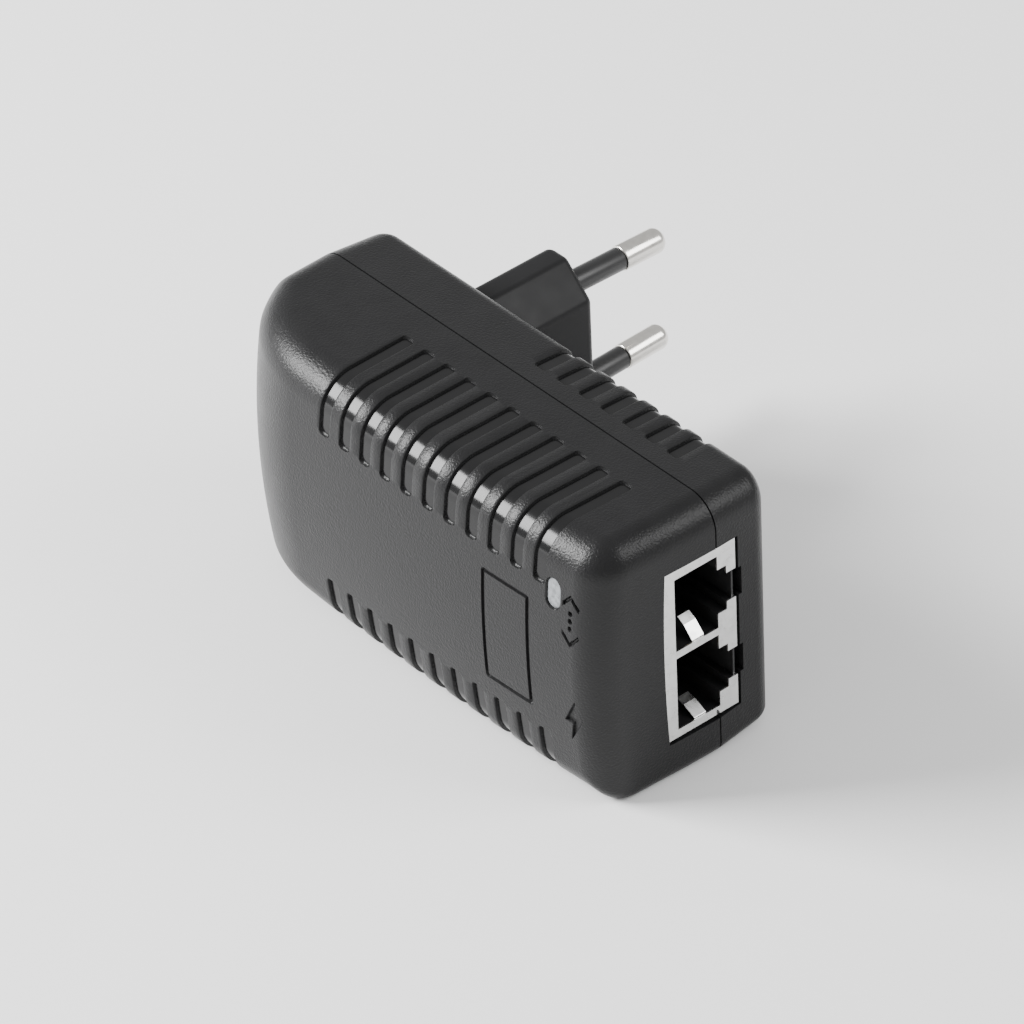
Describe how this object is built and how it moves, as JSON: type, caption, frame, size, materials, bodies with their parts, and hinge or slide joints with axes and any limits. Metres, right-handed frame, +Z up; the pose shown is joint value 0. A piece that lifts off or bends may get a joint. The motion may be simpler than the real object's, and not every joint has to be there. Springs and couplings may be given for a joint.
{
  "type": "poe injector",
  "caption": "Wall-plug PoE injector: ribbed black two-part case with a twin shielded network jack on one end and a sleeved two-pin mains plug on the back.",
  "frame": {"origin": "centre of the bounding box in X and Y, at the base face", "axes": "+X along the case towards the network jack, +Y the way the mains pins point, +Z up with the part standing on its long narrow side"},
  "size_m": [0.0862, 0.0716, 0.0445],
  "materials": {
    "case_plastic": "fine spark texture, black",
    "plug_plastic": "satin black",
    "pin_nickel": "nickel plated brass",
    "sleeve_plastic": "satin black",
    "light_pipe": "light grey diffuser",
    "led_lens": "clear epoxy",
    "board": "green solder mask",
    "jack_plastic": "black",
    "shield_tin": "tin plated",
    "contact_gold": "gold flash",
    "ferrite": "dark grey ferrite",
    "black_part": "black epoxy",
    "tape_yellow": "polyester tape",
    "capacitor_sleeve": "dark blue sleeve",
    "copper_wire": "enamelled copper",
    "film_yellow": "yellow box",
    "fuse_brown": "brown cap",
    "disc_blue": "blue lacquer",
    "aluminium": "plain",
    "wire_brown": "brown insulation",
    "wire_blue": "blue insulation",
    "sheet_cream": "insulating film"
  },
  "bodies": {
    "case": {"front_cover": "case_plastic", "rear_cover": "case_plastic", "plug_insert": "plug_plastic", "mains_pin_upper": "pin_nickel", "mains_pin_lower": "pin_nickel", "pin_sleeve_upper": "sleeve_plastic", "pin_sleeve_lower": "sleeve_plastic", "light_pipe": "light_pipe", "status_led": "led_lens", "main_board": "board", "jack_housing": "jack_plastic", "jack_shield": "shield_tin", "jack_tails": "contact_gold", "transformer_core": "ferrite", "transformer_bobbin": "black_part", "transformer_winding": "tape_yellow", "mains_capacitors": "capacitor_sleeve", "common_mode_choke": "copper_wire", "x_capacitor": "film_yellow", "fuse": "fuse_brown", "varistor": "disc_blue", "bridge_rectifier": "black_part", "primary_heatsink": "aluminium", "switching_transistor": "black_part", "controller_ic": "black_part", "optocoupler": "black_part", "y_capacitor": "disc_blue", "output_heatsink": "aluminium", "output_diode": "black_part", "output_capacitors": "capacitor_sleeve", "output_inductor": "copper_wire", "resistors": "disc_blue", "live_wire": "wire_brown", "neutral_wire": "wire_blue", "insulating_sheet": "sheet_cream"},
    "lan_contacts": {"lan_contacts": "contact_gold"},
    "lan_ground_spring_low": {"lan_ground_spring_low": "shield_tin"},
    "lan_ground_spring_high": {"lan_ground_spring_high": "shield_tin"},
    "poe_contacts": {"poe_contacts": "contact_gold"},
    "poe_ground_spring_low": {"poe_ground_spring_low": "shield_tin"},
    "poe_ground_spring_high": {"poe_ground_spring_high": "shield_tin"}
  },
  "joints": [
    {"name": "lan_contacts_bend", "type": "hinge", "parent": "case", "child": "lan_contacts", "pos_m": [0.0394, -0.0208, 0.02873], "axis": [0, 0, 1], "range_deg": [0, 12], "stiffness_Nm_per_rad": 0.4},
    {"name": "lan_ground_spring_low_bend", "type": "hinge", "parent": "case", "child": "lan_ground_spring_low", "pos_m": [0.0425, -0.01592, 0.02252], "axis": [0, -1, 0], "range_deg": [0, 40], "stiffness_Nm_per_rad": 0.3},
    {"name": "lan_ground_spring_high_bend", "type": "hinge", "parent": "case", "child": "lan_ground_spring_high", "pos_m": [0.0425, -0.01592, 0.03492], "axis": [0, 1, 0], "range_deg": [0, 33], "stiffness_Nm_per_rad": 0.3},
    {"name": "poe_contacts_bend", "type": "hinge", "parent": "case", "child": "poe_contacts", "pos_m": [0.0394, -0.0208, 0.01476], "axis": [0, 0, 1], "range_deg": [0, 12], "stiffness_Nm_per_rad": 0.4},
    {"name": "poe_ground_spring_low_bend", "type": "hinge", "parent": "case", "child": "poe_ground_spring_low", "pos_m": [0.0425, -0.01592, 0.00856], "axis": [0, -1, 0], "range_deg": [0, 20], "stiffness_Nm_per_rad": 0.3},
    {"name": "poe_ground_spring_high_bend", "type": "hinge", "parent": "case", "child": "poe_ground_spring_high", "pos_m": [0.0425, -0.01592, 0.02096], "axis": [0, 1, 0], "range_deg": [0, 33], "stiffness_Nm_per_rad": 0.3}
  ]
}
